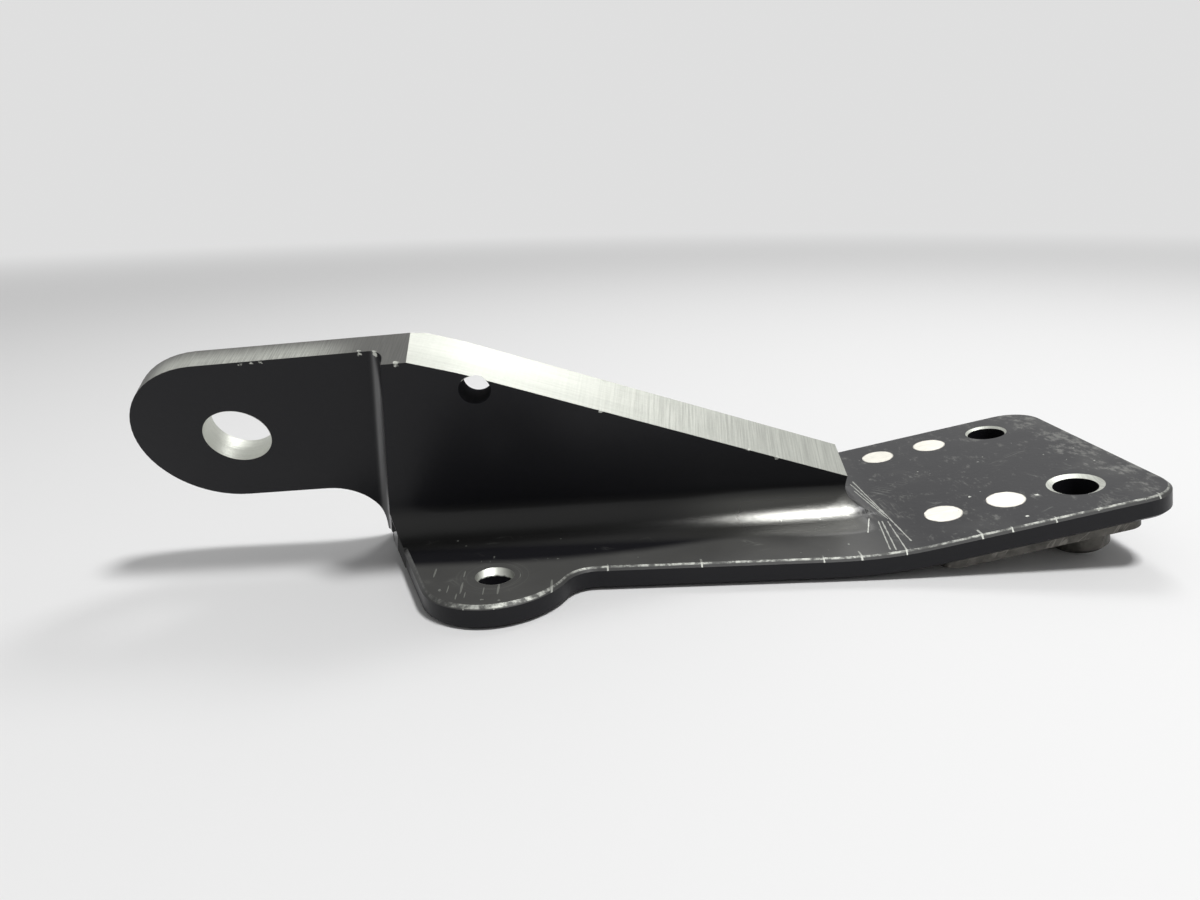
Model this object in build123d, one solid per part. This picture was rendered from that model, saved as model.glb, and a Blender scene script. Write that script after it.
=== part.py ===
from build123d import *
from math import acos, atan2, cos, hypot, pi, radians, sin, sqrt, tan
import os

os.makedirs("parts", exist_ok=True)

# Working frame while modelling, in mm: X along the base's near edge, Y away from the viewer, Z up.
# Z is 0 on top of the base. The last step moves everything so that the origin is the centre of
# the tab's hole on the base's underside.

# Base and raised plate, one strip of metal
PLATE_T = 2.76
NEAR_Y = -11.6
FAR_Y = 24.65
BEND_X = 62.0
BEND_DEG = 11.6
BEND_R = 60.0
PLATE_U = 35.6
FAR_CORNER_R = 5.0
NEAR_CORNER_R = 4.5
EAR_LEFT = 55.0
EAR_CORNER_R = 3.0
EDGE_BREAK = 0.45
UNDER_BREAK = 0.35

# Tab and the base's slanted left edge
TAB_X, TAB_Y, TAB_R = 14.76, -9.27, 10.66
TAB_HOLE_X, TAB_HOLE_Y, TAB_HOLE_R = 16.07, -12.69, 2.2
TAB_CORNER_R = 7.8
TAB_FILLET = 4.0
LEFT_X, LEFT_Y = 8.44, -15.96
LEFT_DEG = 20.6
SIDE_LEAN = 0.25
LEFT_END_Y = -3.9

# Web, leaning towards the viewer, with its foot line turned in plan
WEB_TURN = 3.0
WEB_LEAN = 25.0
WEB_T = 6.23
STEP = 2.74
FOLD_R = 2.4
FRONT_X, FRONT_SLOPE = 1.54, 0.12
STEP_R = 1.7
CREST_X, CREST_H = 7.5, 27.3
KNEE_X, KNEE_H, KNEE_R = 12.9, 25.6, 40.0
STRIP_X, STRIP_H = 60.9, 6.35
END_X = 60.82
END_R = 4.2

# Lug
LUG_X, LUG_H, LUG_R = -15.4, 16.1, 9.9
BORE_X, BORE_H, BORE_R = -13.9, 15.76, 3.76
LUG_FOOT_X = 0.87
LUG_FOOT_R = 6.2
LUG_CORNER_H = 6.6
LUG_BREAK = 0.6

# Small hole through the web, drilled level
PIN_X, PIN_H, PIN_R = 14.4, 23.2, 1.75

# Rivets and captive nuts on the raised plate; U runs up its slope from the bend
ROWS = {"near": -4.04, "far": 18.70}
RIVET_U = {"a": 9.96, "b": 17.86}
NUT_U = 26.62
HEAD_R = 2.27
SHANK_R = 1.19
SINK_DEG = 50.0
TAIL_R, TAIL_H = 1.7, 0.65
SCREW_R = 2.55
SCREW_CHAMFER = {"near": 0.7, "far": 0.3}
SCREW_CHAMFER_T = 0.35
SINK_GAP = 0.02

FLANGE_T = 1.0
FLANGE_U0, FLANGE_U1 = 6.6, 31.0
FLANGE_HALF = 5.9
FLANGE_CORNER = 2.2
FLANGE_INSET = 0.4
BARREL_R = 3.5
BARREL_DEPTH = 8.2
BARREL_CHAMFER = 0.6
THREAD_R = 2.1

turn, lean, bend = radians(WEB_TURN), radians(WEB_LEAN), radians(BEND_DEG)
along = Vector(cos(turn), sin(turn), 0)
front = Vector(sin(turn) * cos(lean), -cos(turn) * cos(lean), -sin(lean))
web = Plane(origin=(0, 0, 0), x_dir=along, z_dir=front)
slope = Plane(
    origin=(BEND_X, 0, 0),
    x_dir=Vector(cos(bend), 0, sin(bend)),
    z_dir=Vector(-sin(bend), 0, cos(bend)),
)


def touch(cx, cy, r, px, py, side):
    """Point where the line from (px, py) touches a circle, on its upper (1) or lower (-1) side."""
    dx, dy = px - cx, py - cy
    angle = atan2(dy, dx) + side * acos(r / hypot(dx, dy))
    return (cx + r * cos(angle), cy + r * sin(angle))


# The strip's side profile: flat, a wide bend, then the slope
BEND_0 = BEND_X - BEND_R * tan(bend / 2)


def on_bend(share, depth):
    """Point on the wide bend at that share of its angle, that deep below its top."""
    r = BEND_R + depth
    return (BEND_0 + r * sin(bend * share), BEND_R - r * cos(bend * share))


def on_slope(u, depth):
    """Point on the raised plate, u along the slope, that deep below its top."""
    return (BEND_X + u * cos(bend) + depth * sin(bend), u * sin(bend) - depth * cos(bend))


def side_profile(x0, u1, top, bottom):
    """Closed face in XZ that follows the strip, between two depths below its top."""
    with BuildSketch(Plane.XZ) as s:
        with BuildLine():
            a, b, c = on_bend(0, top), on_bend(0.5, top), on_bend(1, top)
            d, e, f = on_bend(0, bottom), on_bend(0.5, bottom), on_bend(1, bottom)
            Line((x0, -top), a)
            ThreePointArc(a, b, c)
            Line(c, on_slope(u1, top))
            Line(on_slope(u1, top), on_slope(u1, bottom))
            Line(on_slope(u1, bottom), f)
            ThreePointArc(f, e, d)
            Line(d, (x0, -bottom))
            Line((x0, -bottom), (x0, -top))
        make_face()
    return s.sketch


def in_y(face, y0, y1):
    """Solid from a face drawn in XZ, between two values of Y."""
    return Pos(0, y1, 0) * extrude(face, y1 - y0, dir=(0, -1, 0))



def standing(shape, x, y):
    """The upright edge of the strip nearest to a place in plan."""
    edges = [e for e in shape.edges() if abs((e @ 0 - e @ 1).Z) > 0.8 * PLATE_T and e.length < 1.3 * PLATE_T]
    return sorted(edges, key=lambda e: hypot(e.center().X - x, e.center().Y - y))[0]


# Strip, cut away behind the web; its right end is trimmed once the web is on
strip = in_y(side_profile(-12, PLATE_U + 25, 0, PLATE_T), NEAR_Y, FAR_Y)
behind = Pos(EAR_LEFT - 100, 0, -WEB_T - 20) * Box(200, 120, 40)
cut_corner = [e for e in behind.edges() if e.center().X > EAR_LEFT - 0.1 and e.center().Z > -WEB_T - 0.1]
behind = web * fillet([e for e in cut_corner if e.length > 100], EAR_CORNER_R)
strip -= behind

# Web blank: the leaning slab down to the middle of the strip
slab = web * Pos(35, 0, -WEB_T / 2) * Box(150, 90, WEB_T)
above = in_y(side_profile(-60, PLATE_U + 24, -45, PLATE_T / 2), -60, 60)
slab = slab & above
blank = strip + slab

# Round fillet where the web's front face meets the strip
face = [f for f in blank.faces().filter_by(GeomType.PLANE) if (f.normal_at() - front).length < 1e-4]
face = sorted(face, key=lambda f: f.area)[-1]
foot = [e for e in face.edges() if e.bounding_box().max.Z < 9 and e.center().Z > -0.5]
foot = [e for e in foot if e.length > 1]
blank = fillet(foot, FOLD_R)

# Right end of the web: an end face that flares down onto the strip
reach = BEND_R - END_R
flare_x = END_X + END_R
flare_z = BEND_R - sqrt(reach**2 - (flare_x - BEND_0) ** 2)
land = (BEND_0 + (flare_x - BEND_0) * BEND_R / reach, BEND_R - (BEND_R - flare_z) * BEND_R / reach)
low = atan2(land[1] - flare_z, land[0] - flare_x)
mid = (pi + low + 2 * pi) / 2
with BuildSketch(Plane.XZ) as s:
    with BuildLine():
        Line((END_X, 60), (END_X, flare_z))
        ThreePointArc(
            (END_X, flare_z),
            (flare_x + END_R * cos(mid), flare_z + END_R * sin(mid)),
            land,
        )
        share = ((land[0] - BEND_0) / sin(bend) / BEND_R + 1) / 2
        ThreePointArc(land, on_bend(share, 0), on_bend(1, 0))
        Line(on_bend(1, 0), on_slope(60, 0))
        Line(on_slope(60, 0), (130, 60))
        Line((130, 60), (END_X, 60))
    make_face()
blank -= in_y(s.sketch, -60, 60)
blank -= slope * Pos(PLATE_U + 50, 0, 0) * Box(100, 100, 100)
blank = fillet(standing(blank, 97, FAR_Y), FAR_CORNER_R)
blank = fillet(standing(blank, 97, NEAR_Y), NEAR_CORNER_R)
blank = fillet(standing(blank, EAR_LEFT, FAR_Y), EAR_CORNER_R)


def near_rim(shape, z):
    """The long straight piece of the strip's near rim at height z."""
    edges = [e for e in shape.edges() if abs(e.center().Y - NEAR_Y) < 0.01 and e.length > 20]
    return [e for e in edges if abs(e.center().Z - z) < 0.01 and e.center().X < 40]


blank = chamfer(near_rim(blank, 0), EDGE_BREAK)
blank = chamfer(near_rim(blank, -PLATE_T), UNDER_BREAK)


# Outlines drawn on the web: x along its foot line, h up its face
top_left = touch(LUG_X, LUG_H, LUG_R, CREST_X, CREST_H, 1)
low_left = touch(LUG_X, LUG_H, LUG_R, LUG_FOOT_X, LUG_CORNER_H, -1)
drop = (KNEE_H - STRIP_H) / (STRIP_X - KNEE_X)


def outline(*points):
    """Face from straight lines between points."""
    return make_face(Polyline(*points, close=True))


def near(sketch, x, y):
    """The sketch's corner nearest to a point."""
    return sketch.vertices().sort_by_distance(Vector(x, y, 0))[0]


def layer(sketch, depth0, depth1):
    """Solid from a sketch drawn on the web, between two depths behind its front face."""
    return web * Pos(0, 0, -depth1) * extrude(sketch, depth1 - depth0, dir=(0, 0, 1))


crest = outline(
    (-60, top_left[1] - 3),
    top_left,
    (CREST_X, CREST_H),
    (KNEE_X, KNEE_H),
    (STRIP_X + 0.6, STRIP_H - 0.6 * drop),
    (STRIP_X + 0.6, 60),
    (-60, 60),
)
crest = fillet(near(crest, KNEE_X, KNEE_H), KNEE_R)
blank -= layer(crest, -1, WEB_T + 1)

lug = outline(
    (LUG_X, LUG_H),
    top_left,
    (20, 60),
    (20, -30),
    (LUG_FOOT_X, -30),
    (LUG_FOOT_X, LUG_CORNER_H),
    low_left,
)
lug = fillet(near(lug, LUG_FOOT_X, LUG_CORNER_H), LUG_FOOT_R)
lug += Pos(LUG_X, LUG_H) * Circle(LUG_R)
around = outline((-60, -30), (10, -30), (10, 60), (-60, 60)) - lug
blank -= layer(around, STEP, WEB_T + 1)
rear = [e for e in blank.edges() if abs(web.to_local_coords(e.center()).Z + WEB_T) < 0.01]
rear = [e for e in rear if web.to_local_coords(e.center()).X < CREST_X]
rear = [e for e in rear if web.to_local_coords(e.center()).Y > LUG_H or e.geom_type == GeomType.CIRCLE]
blank = chamfer(rear, LUG_BREAK)
side = outline(
    (-60, -30),
    (FRONT_X - 30 * FRONT_SLOPE, -30),
    (FRONT_X + 60 * FRONT_SLOPE, 60),
    (-60, 60),
)
blank -= layer(side, -1, STEP)

# Slanted left edge of the base, leaning a little where it trims the fillet and the web's foot
left = radians(LEFT_DEG)
edge = Vector(LEFT_X, LEFT_Y, 0)
back_along = Vector(-sin(left), cos(left), 0)
trim = Plane(origin=tuple(edge), x_dir=back_along, z_dir=Vector(-cos(left), -sin(left), 0))
lower = trim * Pos(0, 0, 30) * Box(90, 20, 60)
lower = lower & Pos(0, 0, -10) * Box(300, 300, 20)
side_lean = Vector(-cos(left), -sin(left), -cos(left) * SIDE_LEAN).normalized()
upper = Plane(origin=tuple(edge), x_dir=back_along, z_dir=side_lean) * Pos(0, 0, 30) * Box(90, 40, 60)
upper = upper & Pos(0, 0, 10) * Box(300, 300, 20)
upper = upper & web * Pos(0, 0, 50 - STEP) * Box(300, 300, 100)

blank -= lower
blank -= upper

# Tab, with its rim broken, let into the base along the slanted edge
def on_left(y):
    """Point on the slanted left edge at that Y."""
    return (edge.X - (y - edge.Y) * tan(left), y)


tab = Pos(TAB_X, TAB_Y) * Circle(TAB_R)
tab = tab & outline(on_left(-30), on_left(NEAR_Y + 5), (40, NEAR_Y + 5), (40, -30))
tab = fillet(near(tab, *on_left(TAB_Y - TAB_R)), TAB_CORNER_R)
neck_x = TAB_X + sqrt(TAB_R**2 - (NEAR_Y - TAB_Y) ** 2)
shoulder = neck_x + TAB_FILLET + 3
tab += outline((TAB_X, NEAR_Y), (shoulder, NEAR_Y), (shoulder, NEAR_Y + 5), (TAB_X, NEAR_Y + 5))
tab = fillet(near(tab, neck_x, NEAR_Y), TAB_FILLET)
tab += outline(on_left(NEAR_Y + 4), on_left(LEFT_END_Y), (TAB_X, LEFT_END_Y), (TAB_X, NEAR_Y + 4))
tab = Pos(0, 0, -PLATE_T) * extrude(tab, PLATE_T, dir=(0, 0, 1))


def tab_rim(z):
    """The tab's outer edges at height z."""
    edges = [e for e in tab.edges() if abs(e.center().Z - z) < 0.01]
    edges = [e for e in edges if e.center().Y < LEFT_END_Y - 0.1]
    return [e for e in edges if e.center().Y < NEAR_Y + 0.01 or e.center().X < TAB_X - 5]


tab = chamfer(tab_rim(0), EDGE_BREAK)
tab = chamfer(tab_rim(-PLATE_T), UNDER_BREAK)
inset = outline(
    (edge.X, edge.Y),
    on_left(LEFT_END_Y),
    (on_left(LEFT_END_Y)[0] + 2, LEFT_END_Y),
    (edge.X + 2, edge.Y),
)
blank -= Pos(0, 0, -2 * PLATE_T) * extrude(inset, 4 * PLATE_T, dir=(0, 0, 1))
blank += tab


# Step fillet beside the lug: a square bar less a round one, along the step's slanted line
s_norm = hypot(1, FRONT_SLOPE)
corner = web.from_local_coords(Vector(FRONT_X, 0, -STEP))
step_up = web.x_dir * (FRONT_SLOPE / s_norm) + web.y_dir * (1 / s_norm)
step_left = web.x_dir * (-1 / s_norm) + web.y_dir * (FRONT_SLOPE / s_norm)
cove = Pos(STEP_R / 2 - 0.25, STEP_R / 2 - 0.25) * Rectangle(STEP_R + 0.5, STEP_R + 0.5)
cove -= Pos(STEP_R, STEP_R) * Circle(STEP_R)
cove = Plane(origin=tuple(corner), x_dir=step_left, z_dir=step_up) * extrude(cove, 40, both=True)
cove = cove & layer(lug, 0.2, WEB_T - 0.5)
cove = cove & above
blank += cove - layer(crest, -1, WEB_T + 1) - lower

# Holes in the bracket
bore = web * Pos(BORE_X, BORE_H, -WEB_T / 2) * Cylinder(BORE_R, 3 * WEB_T)
tab_hole = Pos(TAB_HOLE_X, TAB_HOLE_Y, -PLATE_T / 2) * Cylinder(TAB_HOLE_R, 3 * PLATE_T)
start = web.from_local_coords(Vector(PIN_X, PIN_H, 0))
level = Plane(origin=tuple(start), z_dir=Vector(-sin(turn), cos(turn), 0))
pin = level * Cylinder(PIN_R, 40)
pin = pin & web * Pos(PIN_X, PIN_H, 0) * Box(20, 20, 30)
blank -= bore + tab_hole + pin


def on_plate(u, y, depth):
    """Place on the raised plate, Z along its normal, that deep below its top."""
    return slope * Pos(u, y, -depth)


def sink_head(u, y, gap):
    """Countersunk rivet head and shank, grown by a gap."""
    rim = HEAD_R + gap
    deep = (HEAD_R - SHANK_R) / tan(radians(SINK_DEG))
    cone = on_plate(u, y, deep / 2) * Cone(SHANK_R + gap, rim, deep)
    long = PLATE_T + FLANGE_T
    return cone + on_plate(u, y, long / 2) * Cylinder(SHANK_R + gap, long)


for row, y in ROWS.items():
    blank -= on_plate(NUT_U, y, PLATE_T / 2) * Cylinder(SCREW_R, 2 * PLATE_T)
    mouth = on_plate(NUT_U, y, SCREW_CHAMFER_T / 2)
    blank -= mouth * Cone(SCREW_R, SCREW_R + SCREW_CHAMFER[row], SCREW_CHAMFER_T)
    for u in RIVET_U.values():
        blank -= sink_head(u, y, SINK_GAP)


def rivet(u, y):
    """Flush rivet: countersunk head, shank and the upset tail under the nut's flange."""
    body = sink_head(u, y, 0)
    tail = on_plate(u, y, PLATE_T + FLANGE_T + TAIL_H / 2) * Cylinder(TAIL_R, TAIL_H)
    body += tail
    rim = body.edges().filter_by(GeomType.CIRCLE).sort_by(Axis((0, 0, 0), slope.z_dir))[0]
    return fillet(rim, 0.3)


def nutplate(y, pad_y):
    """Captive nut: flange with two rivet holes, centred across at pad_y, and a threaded barrel."""
    middle = (FLANGE_U0 + FLANGE_U1) / 2
    pad = Rectangle(FLANGE_U1 - FLANGE_U0, 2 * FLANGE_HALF)
    pad = fillet(pad.vertices(), FLANGE_CORNER)
    nut = on_plate(middle, pad_y, PLATE_T + FLANGE_T) * extrude(pad, FLANGE_T, dir=(0, 0, 1))
    long = BARREL_DEPTH - PLATE_T - FLANGE_T
    barrel = on_plate(NUT_U, y, BARREL_DEPTH - long / 2) * Cylinder(BARREL_R, long)
    low = barrel.edges().filter_by(GeomType.CIRCLE).sort_by(Axis((0, 0, 0), slope.z_dir))[0]
    nut += chamfer(low, BARREL_CHAMFER)
    nut -= on_plate(NUT_U, y, BARREL_DEPTH / 2) * Cylinder(THREAD_R, 2 * BARREL_DEPTH)
    for u in RIVET_U.values():
        nut -= on_plate(u, y, BARREL_DEPTH / 2) * Cylinder(SHANK_R + SINK_GAP, BARREL_DEPTH)
    return nut


made = {"bracket": blank}
pads = {"near": NEAR_Y + FLANGE_INSET + FLANGE_HALF, "far": FAR_Y - FLANGE_INSET - FLANGE_HALF}
for row, y in ROWS.items():
    made["nutplate_" + row] = nutplate(y, pads[row])
    for place, u in RIVET_U.items():
        made["rivet_" + row + "_" + place] = rivet(u, y)

for name, shape in made.items():
    solid = Pos(-TAB_HOLE_X, -TAB_HOLE_Y, PLATE_T) * shape
    solid = solid.solids()[0]
    solid.label = name
    export_step(solid, "parts/" + name + ".step")
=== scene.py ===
"""Looks for the gas strut bracket: coating, bare metal, fasteners and the stage."""

import math

import bmesh
import bpy
from bpy.props import FloatProperty, FloatVectorProperty, PointerProperty
from mathutils import Matrix, Vector

bl_info = {
    "name": "Gas Strut Bracket",
    "version": (1, 0, 0),
    "blender": (4, 5, 0),
    "location": "View3D > Sidebar > Bracket",
    "description": "Finishes the bracket, its rivets and captive nuts, and builds the stage",
    "category": "Object",
}

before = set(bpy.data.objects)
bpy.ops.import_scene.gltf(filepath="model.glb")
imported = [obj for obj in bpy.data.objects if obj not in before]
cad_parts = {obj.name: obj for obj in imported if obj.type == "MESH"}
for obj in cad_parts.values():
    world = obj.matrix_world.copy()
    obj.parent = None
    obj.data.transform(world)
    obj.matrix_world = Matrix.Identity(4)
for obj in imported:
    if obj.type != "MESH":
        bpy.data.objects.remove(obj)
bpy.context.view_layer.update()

MM = 0.001
NUTS = ("nutplate_near", "nutplate_far")
RIVETS = ("rivet_near_a", "rivet_near_b", "rivet_far_a", "rivet_far_b")

# Sizes below are in mm and count from the corner where web and base meet.
# The frame's datum is the tab hole's centre on the base's underside.
TAB_HOLE = Vector((16.07, -12.69, -2.76))
TAB_HOLE_R = 2.2

# Web: foot line turned in plan, face leaning towards the viewer
WEB_TURN = math.radians(3.0)
WEB_LEAN = math.radians(25.0)
ALONG = Vector((math.cos(WEB_TURN), math.sin(WEB_TURN), 0))
INTO = Vector(
    (
        -math.sin(WEB_TURN) * math.cos(WEB_LEAN),
        math.cos(WEB_TURN) * math.cos(WEB_LEAN),
        math.sin(WEB_LEAN),
    )
)
UP_FACE = Vector(
    (
        math.sin(WEB_TURN) * math.sin(WEB_LEAN),
        -math.cos(WEB_TURN) * math.sin(WEB_LEAN),
        math.cos(WEB_LEAN),
    )
)
WEB_DEPTH = 6.23
STEP_DEPTH, STEP_X = 2.74, 3.5
CREST_X = 7.45
KNEE_X, KNEE_H = 12.9, 25.6
STRIP_X, STRIP_H = 60.9, 6.35
BORE_X, BORE_H, BORE_R = -13.9, 15.76, 3.76
PIN_X, PIN_H, PIN_R = 14.4, 23.2, 1.75

# Raised plate: bend line, slope and the fastener places on it
BEND_X = 62.0
BEND = math.radians(11.6)
BEND_R = 60.0
UP_SLOPE = Vector((math.cos(BEND), 0, math.sin(BEND)))
PLATE_UP = Vector((-math.sin(BEND), 0, math.cos(BEND)))
ROW_Y = (-4.04, 18.70)
RIVET_U = (9.96, 17.86)
HEAD_R = 2.27
NUT_U = 26.62
SCREW_R = 2.55
SCREW_RING = (0.7, 0.3)

# Fold between web and base: the direction its hollow turns to under the lamp
FOLD_FACING = Vector((0.015, -0.638, 0.770))

# Marks of use: the washer's round the tab hole, the ticks on the tab and the patch at the web's
# right end; and the curve on the base along the edge of the lamp's shadow under the web, in front
# of which the coating is rubbed paler, while behind it the coating stays black as painted shadow
WASHER_R = 5.2
TAB_MIDDLE = (17.5, -15.5, 0)
END_PATCH = (64.6, 1.2, 0.6)
SHADOW_EDGE_X, SHADOW_EDGE_CURVE = 15.0, -0.0055

# Colours that no setting changes
# Painted shade: near black for the lower walls of the pin and tab holes
HOLE_SHADE_COLOR = (0.015, 0.015, 0.018, 1)
# Painted sheen: metal-like reflectance in the fold that brightens and widens the lamp's glint
FOLD_SHEEN_COLOR = (0.085, 0.085, 0.08, 1)
GRIME_COLOR = (0.12, 0.11, 0.1, 1)
SPOT_COLOR = (0.03, 0.028, 0.025, 1)

# Stage, in mm: where the floor meets the base's underside, and where the lamps point
FLOOR_X = -1.5
LAMPS_AIM = Vector((40, 0, 8))

# Stage, in metres: the floor's half width, its fade to the backdrop, and the lamps' places
FLOOR_HALF = 6.0
FADE_START, FADE_END = 0.22, 0.9
LAMP_AWAY = 0.6
LAMP_WAY = (0.29, -0.21, 0.934)
BACK_LAMP_WAY = (0.30, 0.50, 0.80)

# Camera, solved from the photograph's edges
CAMERA_AT = Vector((26.373, -96.086, 41.393))
CAMERA_YAW = 0.025874
CAMERA_PITCH = 0.309587
CAMERA_ROLL = -0.026368
FOCAL_PX = 800.76
PHOTO_WIDTH = 1200
SENSOR_WIDTH = 36.0


def in_frame(point):
    """Millimetres from the web's corner turned into the frame's metres."""
    return (point - TAB_HOLE) * MM


def on_web(x, h, depth=0.0):
    """Point along the foot line, up the face and into the web."""
    return ALONG * x + UP_FACE * h + INTO * depth


def on_plate(u, y, depth=0.0):
    """Point up the raised plate's slope, across it and below its top."""
    return Vector((BEND_X, y, 0)) + UP_SLOPE * u - PLATE_UP * depth


class BracketFinish(bpy.types.PropertyGroup):
    """Coating, bare metal and wear of the bracket."""

    coat_color: FloatVectorProperty(
        name="Coat colour",
        description="Colour of the black coating",
        subtype="COLOR",
        size=3,
        default=(0.010, 0.010, 0.012),
    )
    # Rubbed coat colour; its slight warm tint is a painted glow, the fold's glint reflected on the base
    worn_and_glow_color: FloatVectorProperty(
        name="Rubbed coat colour",
        description="Colour of the coating where tools and hands have rubbed it",
        subtype="COLOR",
        size=3,
        default=(0.14, 0.14, 0.132),
    )
    bare_color: FloatVectorProperty(
        name="Bare metal colour",
        description="Colour of the aluminium where no coating is left",
        subtype="COLOR",
        size=3,
        default=(0.645, 0.66, 0.605),
    )
    coat_roughness: FloatProperty(
        name="Coat roughness",
        description="Roughness of the coating where it is unworn",
        min=0,
        max=1,
        default=0.34,
    )
    line_pitch: FloatProperty(
        name="Mill line pitch",
        description="Distance between the cutter's lines on the milled edge, in millimetres",
        min=0.05,
        max=2,
        default=0.26,
    )
    wear: FloatProperty(
        name="Wear",
        description="Share of the coated faces that shows specks and fine scratches",
        subtype="FACTOR",
        min=0,
        max=1,
        default=0.3,
    )


class FastenerFinish(bpy.types.PropertyGroup):
    """Colours of the rivets and the captive nuts."""

    rivet_color: FloatVectorProperty(
        name="Rivet colour",
        description="Colour of the bare aluminium rivets",
        subtype="COLOR",
        size=3,
        default=(0.90, 0.88, 0.80),
    )
    nut_color: FloatVectorProperty(
        name="Nut colour",
        description="Colour of the dull plated steel of the captive nuts",
        subtype="COLOR",
        size=3,
        default=(0.11, 0.105, 0.095),
    )


class StageSettings(bpy.types.PropertyGroup):
    """Floor, lamps and world."""

    floor_color: FloatVectorProperty(
        name="Floor colour",
        description="Colour of the pale floor",
        subtype="COLOR",
        size=3,
        default=(0.8, 0.8, 0.8),
    )
    floor_fall: FloatProperty(
        name="Floor fall",
        description="Fall of the floor towards the raised plate, so that base and nuts rest on it",
        subtype="ANGLE",
        unit="ROTATION",
        default=math.radians(0.33),
    )
    world_level: FloatProperty(
        name="Studio level",
        description="Strength of the even light all round",
        min=0,
        default=0.30,
    )
    backdrop_level: FloatProperty(
        name="Backdrop level",
        description="Brightness of the backdrop as the camera and glossy surfaces see it",
        min=0,
        max=1,
        default=0.74,
    )
    lamp_power: FloatProperty(
        name="Lamp power",
        description="Power of the soft lamp above the bracket",
        subtype="POWER",
        unit="POWER",
        min=0,
        default=2.6,
    )
    back_power: FloatProperty(
        name="Back lamp power",
        description="Power of the soft lamp behind the bracket, which its bare metal mirrors",
        subtype="POWER",
        unit="POWER",
        min=0,
        default=0.7,
    )
    lamp_size: FloatProperty(
        name="Lamp size",
        description="Width of the soft lamp above",
        subtype="DISTANCE",
        unit="LENGTH",
        min=0.01,
        default=0.10,
    )
    back_size: FloatProperty(
        name="Back lamp size",
        description="Width of the soft lamp behind",
        subtype="DISTANCE",
        unit="LENGTH",
        min=0.01,
        default=0.18,
    )


class Wiring:
    """Short ways to add nodes to one tree and join them."""

    def __init__(self, tree):
        self.nodes, self.links = tree.nodes, tree.links

    def join(self, value, socket):
        """Link an output to a socket, or write a plain value on it."""
        if isinstance(value, bpy.types.NodeSocket):
            self.links.new(value, socket)
        elif value is not None:
            socket.default_value = value

    def math(self, operation, a, b=None, c=None, clamp=False):
        n = self.nodes.new("ShaderNodeMath")
        n.operation, n.use_clamp = operation, clamp
        for value, socket in zip((a, b, c), n.inputs):
            self.join(value, socket)
        return n.outputs[0]

    def vector(self, operation, a, b=None, c=None):
        n = self.nodes.new("ShaderNodeVectorMath")
        n.operation = operation
        for value, socket in zip((a, b, c), n.inputs):
            self.join(value, socket)
        plain = operation in ("DOT_PRODUCT", "LENGTH", "DISTANCE")
        return n.outputs["Value" if plain else "Vector"]

    def over(self, value, low, high):
        """0 below low, 1 above high; the other way round where high is the smaller."""
        n = self.nodes.new("ShaderNodeMapRange")
        n.interpolation_type = "SMOOTHSTEP"
        self.join(value, n.inputs["Value"])
        n.inputs["From Min"].default_value = low
        n.inputs["From Max"].default_value = high
        return n.outputs[0]

    def both(self, *masks):
        total = masks[0]
        for mask in masks[1:]:
            total = self.math("MULTIPLY", total, mask)
        return total

    def either(self, *masks):
        total = masks[0]
        for mask in masks[1:]:
            total = self.math("MAXIMUM", total, mask)
        return total

    def gather(self, masks):
        """Highest of many masks, each added before the next is made."""
        total = None
        for mask in masks:
            total = mask if total is None else self.math("MAXIMUM", total, mask)
        return total

    def combine(self, x, y, z=0.0):
        n = self.nodes.new("ShaderNodeCombineXYZ")
        for value, socket in zip((x, y, z), n.inputs):
            self.join(value, socket)
        return n.outputs[0]

    def alike(self, value):
        """Vector with the same number three times."""
        return self.combine(value, value, value)

    def noise(self, vector, scale=1.0, detail=2.0, roughness=0.5):
        n = self.nodes.new("ShaderNodeTexNoise")
        self.join(vector, n.inputs["Vector"])
        n.inputs["Scale"].default_value = scale
        n.inputs["Detail"].default_value = detail
        n.inputs["Roughness"].default_value = roughness
        return n.outputs["Fac"]

    def tint(self, factor, a, b):
        """Colour between a and b."""
        n = self.nodes.new("ShaderNodeMix")
        n.data_type = "RGBA"
        for value, name in ((factor, 0), (a, 6), (b, 7)):
            self.join(value, n.inputs[name])
        return n.outputs[2]

    def blend(self, factor, a, b):
        """Number between a and b."""
        n = self.nodes.new("ShaderNodeMix")
        for value, name in ((factor, 0), (a, 2), (b, 3)):
            self.join(value, n.inputs[name])
        return n.outputs[0]

    def place(self, tree, **values):
        """Add a shared effect with its own values."""
        n = self.nodes.new("ShaderNodeGroup")
        n.node_tree = tree
        for name, value in values.items():
            self.join(value, n.inputs[name])
        return n.outputs[0]


def effect(name, inputs):
    """Empty shader group with one output called Mask."""
    tree = bpy.data.node_groups.new(name, "ShaderNodeTree")
    for label, kind in inputs.items():
        tree.interface.new_socket(name=label, in_out="INPUT", socket_type="NodeSocket" + kind)
    tree.interface.new_socket(name="Mask", in_out="OUTPUT", socket_type="NodeSocketFloat")
    given = tree.nodes.new("NodeGroupInput")
    result = tree.nodes.new("NodeGroupOutput")
    return tree, Wiring(tree), given.outputs, result.inputs[0]


def tool_lines():
    """Fine parallel lines that a cutter or a belt leaves, brighter and darker at random."""
    known = bpy.data.node_groups.get("Tool lines")
    if known:
        return known
    tree, w, given, mask = effect("Tool lines", {"Across": "Float", "Along": "Float", "Pitch": "Float"})
    x = w.math("DIVIDE", given["Across"], given["Pitch"])
    y = w.math("DIVIDE", given["Along"], w.math("MULTIPLY", given["Pitch"], 30.0))
    broad = w.noise(w.combine(x, y), 1.0, 1.0)
    fine = w.noise(w.combine(w.math("MULTIPLY", x, 3.1), y, 7.0), 1.0, 2.0, 0.6)
    w.join(w.over(w.math("ADD", broad, w.math("MULTIPLY", fine, 0.8)), 0.62, 1.18), mask)
    return tree


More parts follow.
